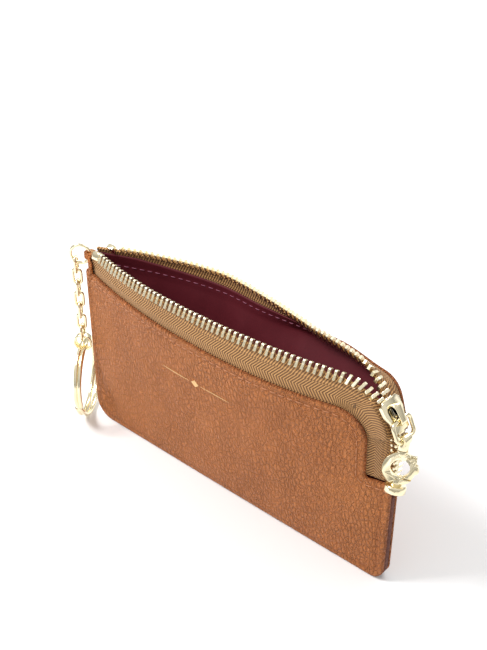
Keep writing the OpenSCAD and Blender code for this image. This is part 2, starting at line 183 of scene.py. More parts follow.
# ---------------------------------------------------------------- mesh helpers
def mesh_object(name, verts, faces, smooth_faces=True):
    """A mesh object from points in millimetres."""
    mesh = bpy.data.meshes.new(name)
    mesh.from_pydata((np.asarray(verts, float) * MM).tolist(), [], [tuple(map(int, f)) for f in faces])
    mesh.update()
    obj = bpy.data.objects.new(name, mesh)
    bpy.context.collection.objects.link(obj)
    if smooth_faces:
        mesh.polygons.foreach_set("use_smooth", [True] * len(mesh.polygons))
    return obj


def paint(obj, *materials):
    obj.data.materials.clear()
    for material in materials:
        obj.data.materials.append(material)
    return obj


def mounted(obj, body, slot, *nodes):
    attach(obj, body)
    if nodes:
        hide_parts(*nodes)
    return obj


def face_out(obj):
    """Merges doubles and turns every face of a closed mesh outwards."""
    import bmesh

    bm = bmesh.new()
    bm.from_mesh(obj.data)
    bmesh.ops.remove_doubles(bm, verts=bm.verts, dist=1e-7)
    bmesh.ops.recalc_face_normals(bm, faces=bm.faces)
    bm.to_mesh(obj.data)
    bm.free()
    return obj


def apply_modifiers(obj):
    """Keeps the evaluated mesh and drops the modifiers."""
    graph = bpy.context.evaluated_depsgraph_get()
    mesh = bpy.data.meshes.new_from_object(obj.evaluated_get(graph))
    old = obj.data
    obj.modifiers.clear()
    obj.data = mesh
    bpy.data.meshes.remove(old)
    return obj


def grid_faces(rows, cols, close_rows=False, close_cols=False):
    faces = []
    for r in range(rows if close_rows else rows - 1):
        for c in range(cols if close_cols else cols - 1):
            r2, c2 = (r + 1) % rows, (c + 1) % cols
            faces.append((r * cols + c, r * cols + c2, r2 * cols + c2, r2 * cols + c))
    return faces


def thick_sheet(name, outer, inner, tris, rim, flip):
    """Two faces of a sheet joined along rim, a closed list of point numbers."""
    n = len(outer)
    faces = [t if not flip else t[::-1] for t in tris]
    faces += [tuple(i + n for i in t[::-1]) for t in faces]
    for a, b in zip(rim, rim[1:] + rim[:1]):
        faces.append((a, b, b + n, a + n))
    return face_out(mesh_object(name, np.vstack([outer, inner]), faces))


# ---------------------------------------------------------------- outlines in the X-Z plane
def arc(cx, cz, r, start, end, step=0.7):
    count = max(3, int(abs(math.radians(end - start)) * r / step) + 1)
    angles = np.radians(np.linspace(start, end, count))
    return [(cx + r * math.cos(a), cz + r * math.sin(a)) for a in angles]


def spread(points, step):
    """Points along a closed outline, at most step apart."""
    out = []
    for a, b in zip(points, points[1:] + points[:1]):
        a, b = np.array(a), np.array(b)
        count = max(1, int(math.ceil(np.linalg.norm(b - a) / step)))
        out += [tuple(a + (b - a) * i / count) for i in range(count)]
    keep = [out[0]]
    for p in out[1:]:
        if math.dist(p, keep[-1]) > 0.05:
            keep.append(p)
    return keep


def leather_outline(step=0.8):
    """Outline of one leather side, with the step that shows the end of the zip."""
    inner = STEP_R
    points = arc(-HALF_W + CORNER_CHAIN, CORNER_CHAIN, CORNER_CHAIN, 270, 180)
    points += arc(-HALF_W + 1.6, LEATHER_TOP - 1.6, 1.6, 180, 90)
    points += arc(ARC_X, ARC_Z, CUT_R, 90, 0)
    points += arc(ARC_X + CUT_R + inner, CUT_Z + inner, inner, 180, 270)
    points += arc(HALF_W - 1.2, CUT_Z - 1.2, 1.2, 90, 0)
    points += arc(HALF_W - CORNER_SLIDER, CORNER_SLIDER, CORNER_SLIDER, 0, -90)
    return spread(points, step)


def distance_to(outline, points):
    """Distance from each point to the closed outline."""
    a = np.array(outline)
    b = np.roll(a, -1, axis=0)
    ab = b - a
    best = np.full(len(points), 1e9)
    for p, d in zip(a, ab):
        t = np.clip(((points - p) @ d) / (d @ d), 0, 1)
        best = np.minimum(best, np.linalg.norm(points - (p + t[:, None] * d), axis=1))
    return best


def inside(outline, points):
    a = np.array(outline)
    b = np.roll(a, -1, axis=0)
    odd = np.zeros(len(points), bool)
    for (x1, z1), (x2, z2) in zip(a, b):
        if z1 == z2:
            continue
        hit = (z1 > points[:, 1]) != (z2 > points[:, 1])
        odd ^= hit & (points[:, 0] < (x2 - x1) * (points[:, 1] - z1) / (z2 - z1) + x1)
    return odd


def fill_outline(outline, step, rings):
    """Points and triangles that fill an outline, with rows of points close inside its edge."""
    edge = np.array(outline)
    prev, nxt = np.roll(edge, 1, axis=0), np.roll(edge, -1, axis=0)
    along = nxt - prev
    normal = np.stack([along[:, 1], -along[:, 0]], axis=1)
    normal /= np.linalg.norm(normal, axis=1)[:, None]
    probe = edge + normal * 0.2
    if inside(outline, probe).mean() < 0.5:
        normal = -normal
    loops = []
    for depth in rings:
        ring = edge + normal * depth
        good = inside(outline, ring)
        good &= distance_to(outline, ring) > depth * 0.93
        loops.append(ring[good])
    low, high = edge.min(axis=0), edge.max(axis=0)
    xs, zs = np.meshgrid(np.arange(low[0], high[0], step), np.arange(low[1], high[1], step * 0.87))
    xs = xs + (np.arange(xs.shape[0]) % 2)[:, None] * step / 2
    grid = np.stack([xs.ravel(), zs.ravel()], axis=1)
    grid = grid[inside(outline, grid)]
    grid = grid[distance_to(outline, grid) > rings[-1] + step * 0.6]
    points = np.vstack([edge] + loops + [grid])
    count = len(edge)
    rim = [(i, (i + 1) % count) for i in range(count)]
    result = delaunay_2d_cdt([Vector(p) for p in points.tolist()], rim, [list(range(count))], 1, 1e-5)
    out_points = np.array([tuple(v) for v in result[0]])
    tris = [tuple(f) for f in result[2]]
    first = {}
    for new, olds in enumerate(result[3]):
        for old in olds:
            first[old] = new
    return out_points, tris, [first[i] for i in range(count)]


def roll(distance, radius):
    """How far a rounded edge falls away at this distance from the edge."""
    t = np.clip(radius - distance, 0, radius)
    return radius - np.sqrt(np.maximum(radius * radius - t * t, 0))


# ---------------------------------------------------------------- node helpers
def add(tree, kind, inputs=None, **settings):
    """A node with its settings, and inputs given as values or as sockets to link."""
    node = tree.nodes.new(kind)
    for key, value in settings.items():
        setattr(node, key, value)
    for key, value in (inputs or {}).items():
        socket = node.inputs[key]
        if isinstance(value, bpy.types.NodeSocket):
            tree.links.new(value, socket)
        else:
            socket.default_value = value
    return node


def maths(tree, operation, a, b=0.0, c=0.0, clamp=False):
    return add(tree, "ShaderNodeMath", {0: a, 1: b, 2: c}, operation=operation, use_clamp=clamp).outputs[0]


def ramp(tree, value, stops):
    node = add(tree, "ShaderNodeValToRGB", {"Fac": value})
    elements = node.color_ramp.elements
    while len(elements) < len(stops):
        elements.new(0.5)
    for element, (place, colour) in zip(elements, stops):
        element.position = place
        element.color = (*colour, 1) if len(colour) == 3 else (colour[0],) * 3 + (1,)
    return node.outputs["Color"]


def grey_ramp(tree, value, stops):
    return ramp(tree, value, [(place, (g,)) for place, g in stops])


def blend_colour(tree, factor, a, b, mode="MIX"):
    node = tree.nodes.new("ShaderNodeMix")
    node.data_type = "RGBA"
    node.blend_type = mode
    for socket, value in ((node.inputs[0], factor), (node.inputs[6], a), (node.inputs[7], b)):
        if isinstance(value, bpy.types.NodeSocket):
            tree.links.new(value, socket)
        else:
            socket.default_value = value if isinstance(value, (int, float)) else (*value, 1)
    return node.outputs[2]


def shader_group(name, inputs, outputs, build):
    """A node group; build gets the tree, the input sockets and a function that sets an output."""
    tree = bpy.data.node_groups.new(name, "ShaderNodeTree")
    for label, kind, value in inputs:
        socket = tree.interface.new_socket(label, in_out="INPUT", socket_type=kind)
        if value is not None:
            socket.default_value = value
    for label, kind in outputs:
        tree.interface.new_socket(label, in_out="OUTPUT", socket_type=kind)
    source = tree.nodes.new("NodeGroupInput")
    sink = tree.nodes.new("NodeGroupOutput")
    build(tree, source.outputs, lambda label, socket: tree.links.new(socket, sink.inputs[label]))
    return tree


def place_group(tree, group, inputs=None):
    node = tree.nodes.new("ShaderNodeGroup")
    node.node_tree = group
    for key, value in (inputs or {}).items():
        if isinstance(value, bpy.types.NodeSocket):
            tree.links.new(value, node.inputs[key])
        else:
            node.inputs[key].default_value = value
    return node.outputs


def new_material(name, view_colour):
    material = bpy.data.materials.new(name)
    material.use_nodes = True
    material.diffuse_color = (*view_colour, 1)
    tree = material.node_tree
    return material, tree, tree.nodes["Principled BSDF"]


def join_bump(tree, shader, height, strength, distance):
    bump = add(tree, "ShaderNodeBump", {"Height": height, "Strength": strength, "Distance": distance})
    tree.links.new(bump.outputs["Normal"], shader.inputs["Normal"])


FLOAT, COLOUR, VECTOR = "NodeSocketFloat", "NodeSocketColor", "NodeSocketVector"


def build_pebble(tree, given, give):
    """Pebbled grain: rounded cells with creases between them, and a fine grain on top."""
    drift = add(tree, "ShaderNodeTexNoise", {"Vector": given["Vector"], "Scale": 260.0, "Detail": 2.0})
    moved = add(tree, "ShaderNodeMixRGB", {"Fac": 0.0012, "Color1": given["Vector"],
                                           "Color2": drift.outputs["Color"]}, blend_type="ADD")
    cells = add(tree, "ShaderNodeTexVoronoi", {"Vector": moved.outputs[0], "Scale": given["Cells"],
                                               "Randomness": 0.95}, feature="DISTANCE_TO_EDGE")
    tone = add(tree, "ShaderNodeTexVoronoi", {"Vector": moved.outputs[0], "Scale": given["Cells"],
                                              "Randomness": 0.95}, feature="F1")
    fine_scale = maths(tree, "MULTIPLY", given["Cells"], 2.6)
    fine = add(tree, "ShaderNodeTexVoronoi", {"Vector": moved.outputs[0], "Scale": fine_scale,
                                              "Randomness": 1.0}, feature="DISTANCE_TO_EDGE")
    grain = add(tree, "ShaderNodeTexNoise", {"Vector": given["Vector"], "Scale": 2600.0, "Detail": 3.0})
    patchy = add(tree, "ShaderNodeTexNoise", {"Vector": given["Vector"], "Scale": 70.0, "Detail": 2.0})
    soft = grey_ramp(tree, cells.outputs["Distance"], [(0.0, 0.0), (0.12, 0.5), (0.45, 1.0)])
    small = grey_ramp(tree, fine.outputs["Distance"], [(0.0, 0.0), (0.2, 0.8), (0.5, 1.0)])
    depth = grey_ramp(tree, patchy.outputs["Fac"], [(0.3, 0.6), (0.65, 1.0)])
    low = maths(tree, "SUBTRACT", 1.0, soft)
    crease = maths(tree, "MULTIPLY", low, depth)
    height = maths(tree, "MULTIPLY_ADD", small, 0.3, maths(tree, "SUBTRACT", 1.0, crease))
    height = maths(tree, "MULTIPLY_ADD", grain.outputs["Fac"], 0.15, height)
    give("Height", height)
    give("Crease", crease)
    give("Tone", tone.outputs["Color"])
    give("Patch", patchy.outputs["Fac"])


PEBBLE = shader_group(
    "pebbled_grain",
    [("Vector", VECTOR, None), ("Cells", FLOAT, 430.0)],
    [("Height", FLOAT), ("Crease", FLOAT), ("Tone", COLOUR), ("Patch", FLOAT)], build_pebble)


def build_worn(tree, given, give):
    """Slow change of tone, for wear and handling."""
    wide = add(tree, "ShaderNodeTexNoise", {"Vector": given["Vector"], "Scale": given["Scale"],
                                            "Detail": 4.0, "Roughness": 0.6})
    shade = grey_ramp(tree, wide.outputs["Fac"], [(0.3, 0.0), (0.7, 1.0)])
    give("Mask", shade)


WORN = shader_group("slow_tone", [("Vector", VECTOR, None), ("Scale", FLOAT, 25.0)],
                    [("Mask", FLOAT)], build_worn)


# ---------------------------------------------------------------- materials
def leather_material(name, light, dark, crease_shade_colour, cells=430.0, bump=0.5, roughness=0.5):
    material, tree, shader = new_material(name, light)
    where = add(tree, "ShaderNodeTexCoord").outputs["Object"]
    flat = add(tree, "ShaderNodeMapping", {"Vector": where, "Scale": (1.3, 0.4, 0.62),
                                           "Rotation": (0.0, math.radians(12), 0.0)}).outputs[0]
    grain = place_group(tree, PEBBLE, {"Vector": flat, "Cells": cells})
    worn = place_group(tree, WORN, {"Vector": where, "Scale": 22.0})
    base = blend_colour(tree, worn["Mask"], light, dark)
    cell = add(tree, "ShaderNodeSeparateColor", {"Color": grain["Tone"]}).outputs[0]
    base = blend_colour(tree, maths(tree, "MULTIPLY", cell, 0.25), base, dark)
    # Painted shade: the creases between the pebbles are darkened towards the crease shade colour.
    base = blend_colour(tree, maths(tree, "MULTIPLY", grain["Crease"], 0.5), base, crease_shade_colour)
    # Painted shade: the leather is darkened at its cut edge and along the stitch groove, by the amount stored
    # on the piece.
    edge_groove_shade = add(tree, "ShaderNodeAttribute", attribute_name="edge_groove_shade").outputs["Fac"]
    base = blend_colour(tree, maths(tree, "MULTIPLY", edge_groove_shade, 0.85), base, crease_shade_colour)
    tree.links.new(base, shader.inputs["Base Color"])
    rough = maths(tree, "MULTIPLY_ADD", grain["Crease"], 0.2, roughness)
    tree.links.new(rough, shader.inputs["Roughness"])
    shader.inputs["Specular IOR Level"].default_value = 0.4
    join_bump(tree, shader, grain["Height"], bump, 0.0016)
    return material


LEATHER = leather_material("pebbled_leather", (0.76, 0.262, 0.066), (0.66, 0.216, 0.054),
                           (0.36, 0.105, 0.028), cells=600.0, bump=1.0)
# Painted shade: the side welt is coloured dark brown for the shade on the seam strip; the turned leather
# there has the panels' own colour.
WELT_SHADE_LEATHER = leather_material("welt_painted_shade_leather", (0.20, 0.062, 0.034), (0.14, 0.042, 0.025),
                                (0.07, 0.02, 0.014), cells=1100.0, bump=0.3, roughness=0.6)


def gold_material(name, dull, bright, roughness):
    material, tree, shader = new_material(name, bright)
    where = add(tree, "ShaderNodeTexCoord").outputs["Object"]
    cloudy = add(tree, "ShaderNodeTexNoise", {"Vector": where, "Scale": 180.0, "Detail": 3.0})
    brushed = add(tree, "ShaderNodeTexNoise", {"Vector": where, "Scale": 2400.0, "Detail": 2.0})
    tone = grey_ramp(tree, cloudy.outputs["Fac"], [(0.35, 0.0), (0.65, 1.0)])
    base = blend_colour(tree, tone, dull, bright)
    tree.links.new(base, shader.inputs["Base Color"])
    rough = maths(tree, "MULTIPLY_ADD", brushed.outputs["Fac"], 0.1, roughness)
    tree.links.new(rough, shader.inputs["Roughness"])
    shader.inputs["Metallic"].default_value = 1.0
    join_bump(tree, shader, cloudy.outputs["Fac"], 0.06, 0.0002)
    return material


GOLD = gold_material("pale_gold_plate", (0.93, 0.81, 0.53), (0.98, 0.88, 0.63), 0.1)
TOOTH_METAL = gold_material("pale_gold_teeth", (0.96, 0.84, 0.56), (1.0, 0.92, 0.69), 0.26)


def steel_material():
    material, tree, shader = new_material("spring_wire", (0.6, 0.6, 0.6))
    where = add(tree, "ShaderNodeTexCoord").outputs["Object"]
    drawn = add(tree, "ShaderNodeTexNoise", {"Vector": where, "Scale": 900.0, "Detail": 2.0})
    tree.links.new(blend_colour(tree, drawn.outputs["Fac"], (0.45, 0.45, 0.46), (0.66, 0.66, 0.66)),
                   shader.inputs["Base Color"])
    shader.inputs["Metallic"].default_value = 1.0
    shader.inputs["Roughness"].default_value = 0.3
    return material


STEEL = steel_material()


def tape_material():
    """Herringbone tape. The UV map holds millimetres along and across the tape."""
    material, tree, shader = new_material("herringbone_tape", (0.42, 0.24, 0.11))
    uv = add(tree, "ShaderNodeUVMap", uv_map="weave").outputs[0]
    parts = add(tree, "ShaderNodeSeparateXYZ", {0: uv}).outputs
    along, across = parts[0], parts[1]
    column = maths(tree, "DIVIDE", maths(tree, "SUBTRACT", across, 3.4), 2.3)
    fold = maths(tree, "PINGPONG", column, 1.0)
    slant = maths(tree, "MULTIPLY_ADD", fold, 2.1, maths(tree, "DIVIDE", along, 1.05))
    lines = maths(tree, "SINE", maths(tree, "MULTIPLY", slant, 2 * math.pi))
    herring = maths(tree, "MULTIPLY_ADD", lines, 0.6, 0.5, clamp=True)
    lean = maths(tree, "MULTIPLY_ADD", across, 0.5, along)
    ribs_a = maths(tree, "SINE", maths(tree, "MULTIPLY", lean, 2 * math.pi / 1.0))
    ribs_b = maths(tree, "COSINE", maths(tree, "MULTIPLY", across, 2 * math.pi / 1.3))
    crossed = maths(tree, "MULTIPLY_ADD", ribs_b, 0.35, ribs_a)
    dots = maths(tree, "MULTIPLY_ADD", crossed, 0.6, 0.5, clamp=True)
    band = grey_ramp(tree, maths(tree, "DIVIDE", across, 10.0), [(0.32, 1.0), (0.35, 0.0)])
    weave = blend_colour(tree, band, herring, dots)
    where = add(tree, "ShaderNodeTexCoord").outputs["Object"]
    fuzz = add(tree, "ShaderNodeTexNoise", {"Vector": where, "Scale": 3500.0, "Detail": 3.0})
    height = maths(tree, "MULTIPLY_ADD", fuzz.outputs["Fac"], 0.35, weave)
    colour = blend_colour(tree, weave, (0.14, 0.058, 0.018), (0.64, 0.345, 0.125))
    worn = place_group(tree, WORN, {"Vector": where, "Scale": 60.0})
    colour = blend_colour(tree, maths(tree, "MULTIPLY", worn["Mask"], 0.25), colour, (0.28, 0.13, 0.05))
    tree.links.new(colour, shader.inputs["Base Color"])
    shader.inputs["Roughness"].default_value = 0.72
    shader.inputs["Sheen Weight"].default_value = 0.08
    shader.inputs["Sheen Roughness"].default_value = 0.4
    join_bump(tree, shader, height, 0.9, 0.00028)
    return material


TAPE = tape_material()


def lining_material():
    material, tree, shader = new_material("burgundy_twill", (0.12, 0.02, 0.035))
    where = add(tree, "ShaderNodeTexCoord").outputs["Object"]
    parts = add(tree, "ShaderNodeSeparateXYZ", {0: where}).outputs
    slant = maths(tree, "ADD", parts[0], parts[2])
    twill = maths(tree, "SINE", maths(tree, "MULTIPLY", slant, 2 * math.pi / 0.00045))
    weave = maths(tree, "MULTIPLY_ADD", twill, 0.5, 0.5)
    worn = place_group(tree, WORN, {"Vector": where, "Scale": 40.0})
    base = blend_colour(tree, weave, (0.066, 0.0055, 0.010), (0.12, 0.010, 0.018))
    base = blend_colour(tree, maths(tree, "MULTIPLY", worn["Mask"], 0.4), base, (0.15, 0.016, 0.024))
    tree.links.new(base, shader.inputs["Base Color"])
    shader.inputs["Roughness"].default_value = 0.6
    shader.inputs["Specular IOR Level"].default_value = 0.25
    join_bump(tree, shader, weave, 0.25, 0.0001)
    return material


LINING = lining_material()


def thread_material(name, light, dark):
    material, tree, shader = new_material(name, light)
    where = add(tree, "ShaderNodeTexCoord").outputs["Object"]
    parts = add(tree, "ShaderNodeSeparateXYZ", {0: where}).outputs
    twist = maths(tree, "SINE", maths(tree, "MULTIPLY", maths(tree, "ADD", parts[0], parts[2]),
                                      2 * math.pi / 0.0004))
    ply = maths(tree, "MULTIPLY_ADD", twist, 0.5, 0.5)
    tree.links.new(blend_colour(tree, ply, dark, light), shader.inputs["Base Color"])
    shader.inputs["Roughness"].default_value = 0.6
    join_bump(tree, shader, ply, 0.4, 0.0001)
    return material


TAN_THREAD = thread_material("tan_thread", (0.62, 0.27, 0.12), (0.42, 0.16, 0.065))
WINE_THREAD = thread_material("wine_thread", (0.33, 0.10, 0.16), (0.2, 0.05, 0.09))


def foil_material():
    material, tree, shader = new_material("gold_foil", (0.8, 0.6, 0.3))
    where = add(tree, "ShaderNodeTexCoord").outputs["Object"]
    speck = add(tree, "ShaderNodeTexNoise", {"Vector": where, "Scale": 1500.0, "Detail": 2.0})
    tree.links.new(blend_colour(tree, speck.outputs["Fac"], (0.70, 0.42, 0.16), (0.95, 0.68, 0.34)),
                   shader.inputs["Base Color"])
    shader.inputs["Metallic"].default_value = 0.85
    shader.inputs["Roughness"].default_value = 0.32
    join_bump(tree, shader, speck.outputs["Fac"], 0.2, 0.0001)
    return material


FOIL = foil_material()


# ---------------------------------------------------------------- leather sides
STITCH_IN = 2.7


def soften(side, x, z):
    """Slow swells and slack of soft leather, in millimetres."""
    out = np.zeros(len(x))
    for i, (px, pz) in enumerate(zip(x, z)):
        big = noise.noise(Vector((px / 34, side * 3.7, pz / 26)))
        mid = noise.noise(Vector((px / 11 + 9, side * 1.3, pz / 17)))
        out[i] = 0.42 * big + 0.16 * mid
    return out


def pucker(x, z):
    """Dent and short fold by the bottom corner below the chain."""
    dent = np.exp(-(((x + 58.5) / 3.6) ** 2 + ((z - 9.5) / 4.6) ** 2))
    fold = np.exp(-(((x + 62.8 + 0.05 * (z - 18)) / 1.1) ** 2)) * smooth((z - 6) / 8) * smooth((34 - z) / 10)
    return -0.9 * dent - 0.45 * fold


LEATHER_EDGE = leather_outline()


def matched(piece, points, values):
    """Values in the order of the piece's own points."""
    known = {tuple(np.round(point * MM, 6)): value for point, value in zip(points, values)}
    return [float(known.get(tuple(np.round(tuple(v.co), 6)), 0)) for v in piece.data.vertices]


def leather_face(side, x, z):
    """Depth of the finished outer face, with the turned edge, the stitch line and the slack."""
    edge = distance_to(LEATHER_EDGE, np.stack([x, z], axis=1))
    depth = panel_depth(side, x, z)
    free = smooth((edge - 1.0) / 6)
    depth = depth + soften(side, x, z) * free
    zip_side = np.where((x > ARC_X + CUT_R - 6) | (z > LEATHER_TOP - 10), 1.0, 0.0)
    groove = np.exp(-((edge - STITCH_IN) / 0.45) ** 2) * zip_side
    plump = np.exp(-((edge - 1.3) / 0.8) ** 2) * 0.12
    depth = depth - 0.16 * groove + plump
    if side == FRONT:
        depth = depth + pucker(x, z) * smooth((x + 66.8) / 2)
    return depth, edge


def make_leather_side(side, name):
    step = 1.0
    points, tris, rim = fill_outline(LEATHER_EDGE, step, [0.15, 0.4, 0.8, 1.4, 2.1, 2.7, 3.3])
    x, z = points[:, 0], points[:, 1]
    depth, edge = leather_face(side, x, z)
    outer = np.stack([x, side * (depth - roll(edge, 0.55)), z], axis=1)
    back = panel_depth(side, x, z) - LEATHER_T + roll(edge, 0.3)
    back = np.minimum(back, depth - 0.75)
    inner = np.stack([x, side * back, z], axis=1)
    piece = thick_sheet(name, leaned(side, outer), leaned(side, inner), tris, rim, side == BACK)
    # Painted shade, stored for the material: darkest at the cut edge and along the stitch groove.
    layer = piece.data.attributes.new("edge_groove_shade", "FLOAT", "POINT")
    shade_near_edge = np.clip(1 - edge / 0.5, 0, 1) + 0.55 * np.exp(-((edge - STITCH_IN) / 0.5) ** 2)
    layer.data.foreach_set("value", matched(piece, np.vstack([leaned(side, outer), leaned(side, inner)]),
                                            np.tile(np.clip(shade_near_edge, 0, 1), 2)))
    paint(piece, LEATHER)
    mounted(piece, "pouch", "leather", name[:-8])
    return piece


front_leather = make_leather_side(FRONT, "front_panel_leather")
back_leather = make_leather_side(BACK, "back_panel_leather")


for leather_piece in (front_leather, back_leather):
    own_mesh(leather_piece)


# ---------------------------------------------------------------- lining
LINING_W = 3.5
LINING_UP = 1.9
LINING_R = CORNER_R - LINING_W
LINING_LEFT = -64.0
LINING_IN = 3.0


def low_z(x, inset):
    """Lower edge of a sheet that stays inside the rounded bottom corners."""
    left, right = x + HALF_W - inset, HALF_W - inset - x
    rl, rr = CORNER_CHAIN - inset, CORNER_SLIDER - inset
    up_l = rl - np.sqrt(np.maximum(0, rl * rl - (rl - np.minimum(left, rl)) ** 2))
    up_r = rr - np.sqrt(np.maximum(0, rr * rr - (rr - np.minimum(right, rr)) ** 2))
    return inset + np.maximum(up_l, up_r)


def lining_edge(s):
    """How far the top of the lining lies below the teeth: least at the sides of the mouth."""
    middle = np.maximum(0, 1 - ((s + ROW_START + 12) / 38) ** 2)
    return LINING_W - LINING_UP * (1 - np.maximum(middle, smooth((s - 106) / 8)))


def lining_top(x):
    over = np.clip((x - ARC_X) / (LINING_R + LINING_UP), 0, 1)
    s = np.where(x < ARC_X, x - ROW_START, TOP_L + CORNER_R * np.arcsin(over))
    w = lining_edge(s)
    return np.where(x < ARC_X, RIDGE_H - w,
                    ARC_Z + np.sqrt(np.maximum(0, (CORNER_R - w) ** 2 - np.maximum(0, x - ARC_X) ** 2)))


def hem_in(x):
    return 5.9 - 1.3 * smooth((x + 20) / 60)


def lining_depth(side, x, z):
    out = np.hypot(x - ARC_X, z - ARC_Z)
    round_part = (x >= ARC_X) & (z > ARC_Z)
    w = np.where(x < ARC_X, RIDGE_H - z, np.where(round_part, CORNER_R - out, ARC_X + CORNER_R - x))
    foot = np.where(x < ARC_X, x, ARC_X + CORNER_R)
    foot = np.where(round_part, ARC_X + CORNER_R * (x - ARC_X) / np.maximum(out, 1e-6), foot)
    deep = panel_depth(side, x, np.minimum(z, LEATHER_TOP))
    lip = ridge_depth(side, foot)
    t = np.clip(w / TAPE_SHOW, 0, 1)
    hung = lip + (deep - lip - LEATHER_T - 0.1) * t - TAPE_T - 0.25
    return np.maximum(LINING_T + 0.15, hung), w


def lining_face(side, x, z):
    """Inner lining with its slack folds, which fade out towards the seams."""
    depth, w = lining_depth(side, x, z)
    slack = smooth((w - 4) / 12) * smooth((x - LINING_LEFT) / 12)
    slack = slack * smooth((64 - x) / 12) * smooth((z - 3) / 8)
    folds = np.zeros_like(depth)
    flat = folds.ravel()
    for i, (px, pz) in enumerate(zip(x.ravel(), z.ravel())):
        flat[i] = noise.noise(Vector((px / 13 + pz / 40, side * 5.0, pz / 34))) + 0.6 * noise.noise(
            Vector((px / 6, side * 8.0 + 3, pz / 16)))
    hem = np.exp(-((w - hem_in(x)) / 0.6) ** 2)
    step = smooth((w - hem_in(x) + 0.5) / 0.8)
    depth = depth - slack * (0.7 + 0.75 * folds) - 0.12 * step + 0.1 * hem
    return np.maximum(LINING_T + 0.15, depth), w


def make_lining(side, name):
    columns, rows = ((170, 70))
    right = ARC_X + LINING_R - 0.1
    bend = np.sin(np.linspace(0, math.pi / 2, columns // 5))
    xs = np.concatenate([np.linspace(LINING_LEFT, ARC_X, columns), (ARC_X + (right - ARC_X) * bend)[1:]])
    t = np.linspace(0, 1, rows) ** 0.8
    x = np.repeat(xs[:, None], rows, axis=1)
    low, top = low_z(xs, LINING_IN), lining_top(xs)
    z = low[:, None] + t[None, :] * (top - low)[:, None]
    depth, _ = lining_face(side, x, z)
    outer = np.stack([x, side * depth, z], axis=2).reshape(-1, 3)
    inner = np.stack([x, side * (depth - LINING_T), z], axis=2).reshape(-1, 3)
    count = len(xs)
    tris = [tuple(f) for f in grid_faces(count, rows)]
    rim = [c for c in range(rows)] + [r * rows + rows - 1 for r in range(1, count)]
    rim += [(count - 1) * rows + c for c in range(rows - 2, -1, -1)]
    rim += [r * rows for r in range(count - 2, 0, -1)]
    piece = thick_sheet(name, leaned(side, outer), leaned(side, inner), tris, rim, side == BACK)
    paint(piece, LINING)
    mounted(piece, "pouch", "lining", name[:-6])
    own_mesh(piece)
    return piece


# ---------------------------------------------------------------- zip tapes
TAPE_DEEP = 11.0
TAPE_END = 6.0


def tape_depth(side, s, w):
    """How far the outer face of the tape stands from the middle plane."""
    x8, z8 = path_xz(s, TAPE_SHOW)
    xw, zw = path_xz(s, np.maximum(w, TAPE_SHOW))
    lip = ridge_depth(side, path_xz(s, 0)[0])
    skin = panel_depth(side, x8, np.minimum(LEATHER_TOP, z8)) - LEATHER_T - 0.12
    below = panel_depth(side, xw, np.minimum(LEATHER_TOP, zw)) - LEATHER_T - 0.12
    t = np.clip(w / TAPE_SHOW, 0, 1)
    power = 0.9 - 0.35 * closed_at(s)
    return np.where(w <= TAPE_SHOW, lip + (skin - lip) * t ** power, below)


def held_by_slider(s):
    return smooth((9.2 - np.abs(s - SLIDER_S)) / 3.4)


def tape_point(side, s, w):
    """Outer face of the tape at s, w, in millimetres. It leaves the slider through the side slots."""
    depth = tape_depth(side, s, w)
    held = held_by_slider(s)
    shelf = 0.95 + 3.9 * smooth(w / 4.2)
    run = smooth((w - 3.4) / 4.6)
    flat_w = 0.2 + (TAPE_SHOW - 0.2) * run
    shelf = shelf * (1 - run) + tape_depth(side, s, np.full_like(w, TAPE_SHOW)) * run
    free = w > TAPE_SHOW
    depth = np.where(free, depth, depth * (1 - held) + shelf * held)
    share = lean_share(w)
    w = np.where(free, w, w * (1 - held) + flat_w * held)
    if side == BACK:
        lift, out = lean_of(s)
        w = np.maximum(np.minimum(w, 0.2), w - lift * share)
        depth = depth + out * share
    x, z = path_xz(s, w)
    return np.stack([x, side * depth, z], axis=-1)


def make_tape(side, name):
    step = 0.55
    s_values = np.arange(-TAPE_END, PATH_L + 2.0, step)
    w_values = np.concatenate([[0.0, 0.35, 0.8, 1.4], np.linspace(2.0, TAPE_DEEP, 14)])
    s, w = np.meshgrid(s_values, w_values, indexing="ij")
    face = tape_point(side, s, w)
    du = np.gradient(face, axis=0)
    dv = np.gradient(face, axis=1)
    normal = np.cross(du, dv)
    normal /= np.linalg.norm(normal, axis=2)[:, :, None]
    if (normal[:, :, 1] * side).mean() < 0:
        normal = -normal
    cord = 0.34 * np.exp(-((w - 0.35) / 0.5) ** 2)
    outer = (face + normal * cord[:, :, None]).reshape(-1, 3)
    inner = (face - normal * (TAPE_T + cord)[:, :, None]).reshape(-1, 3)
    rows, cols = s.shape
    quads = grid_faces(rows, cols)
    rim = list(range(cols)) + [r * cols + cols - 1 for r in range(1, rows)]
    rim += [(rows - 1) * cols + c for c in range(cols - 2, -1, -1)]
    rim += [r * cols for r in range(rows - 2, 0, -1)]
    piece = thick_sheet(name, outer, inner, quads, rim, False)
    lookup = {}
    for i, point in enumerate(np.vstack([outer, inner])):
        lookup[tuple(np.round(point * MM, 6))] = (s.ravel()[i % (rows * cols)], w.ravel()[i % (rows * cols)])
    layer = piece.data.uv_layers.new(name="weave")
    places = [lookup.get(tuple(np.round(tuple(v.co), 6)), (0, 0)) for v in piece.data.vertices]
    for loop in piece.data.loops:
        layer.data[loop.index].uv = places[loop.vertex_index]
    paint(piece, TAPE)
    mounted(piece, "pouch", "zip_tape", name[:-6])
    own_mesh(piece)
    return piece


front_tape_weave = make_tape(FRONT, "front_tape_weave")
back_tape_weave = make_tape(BACK, "back_tape_weave")
front_lining_cloth = make_lining(FRONT, "front_lining_cloth")
back_lining_cloth = make_lining(BACK, "back_lining_cloth")


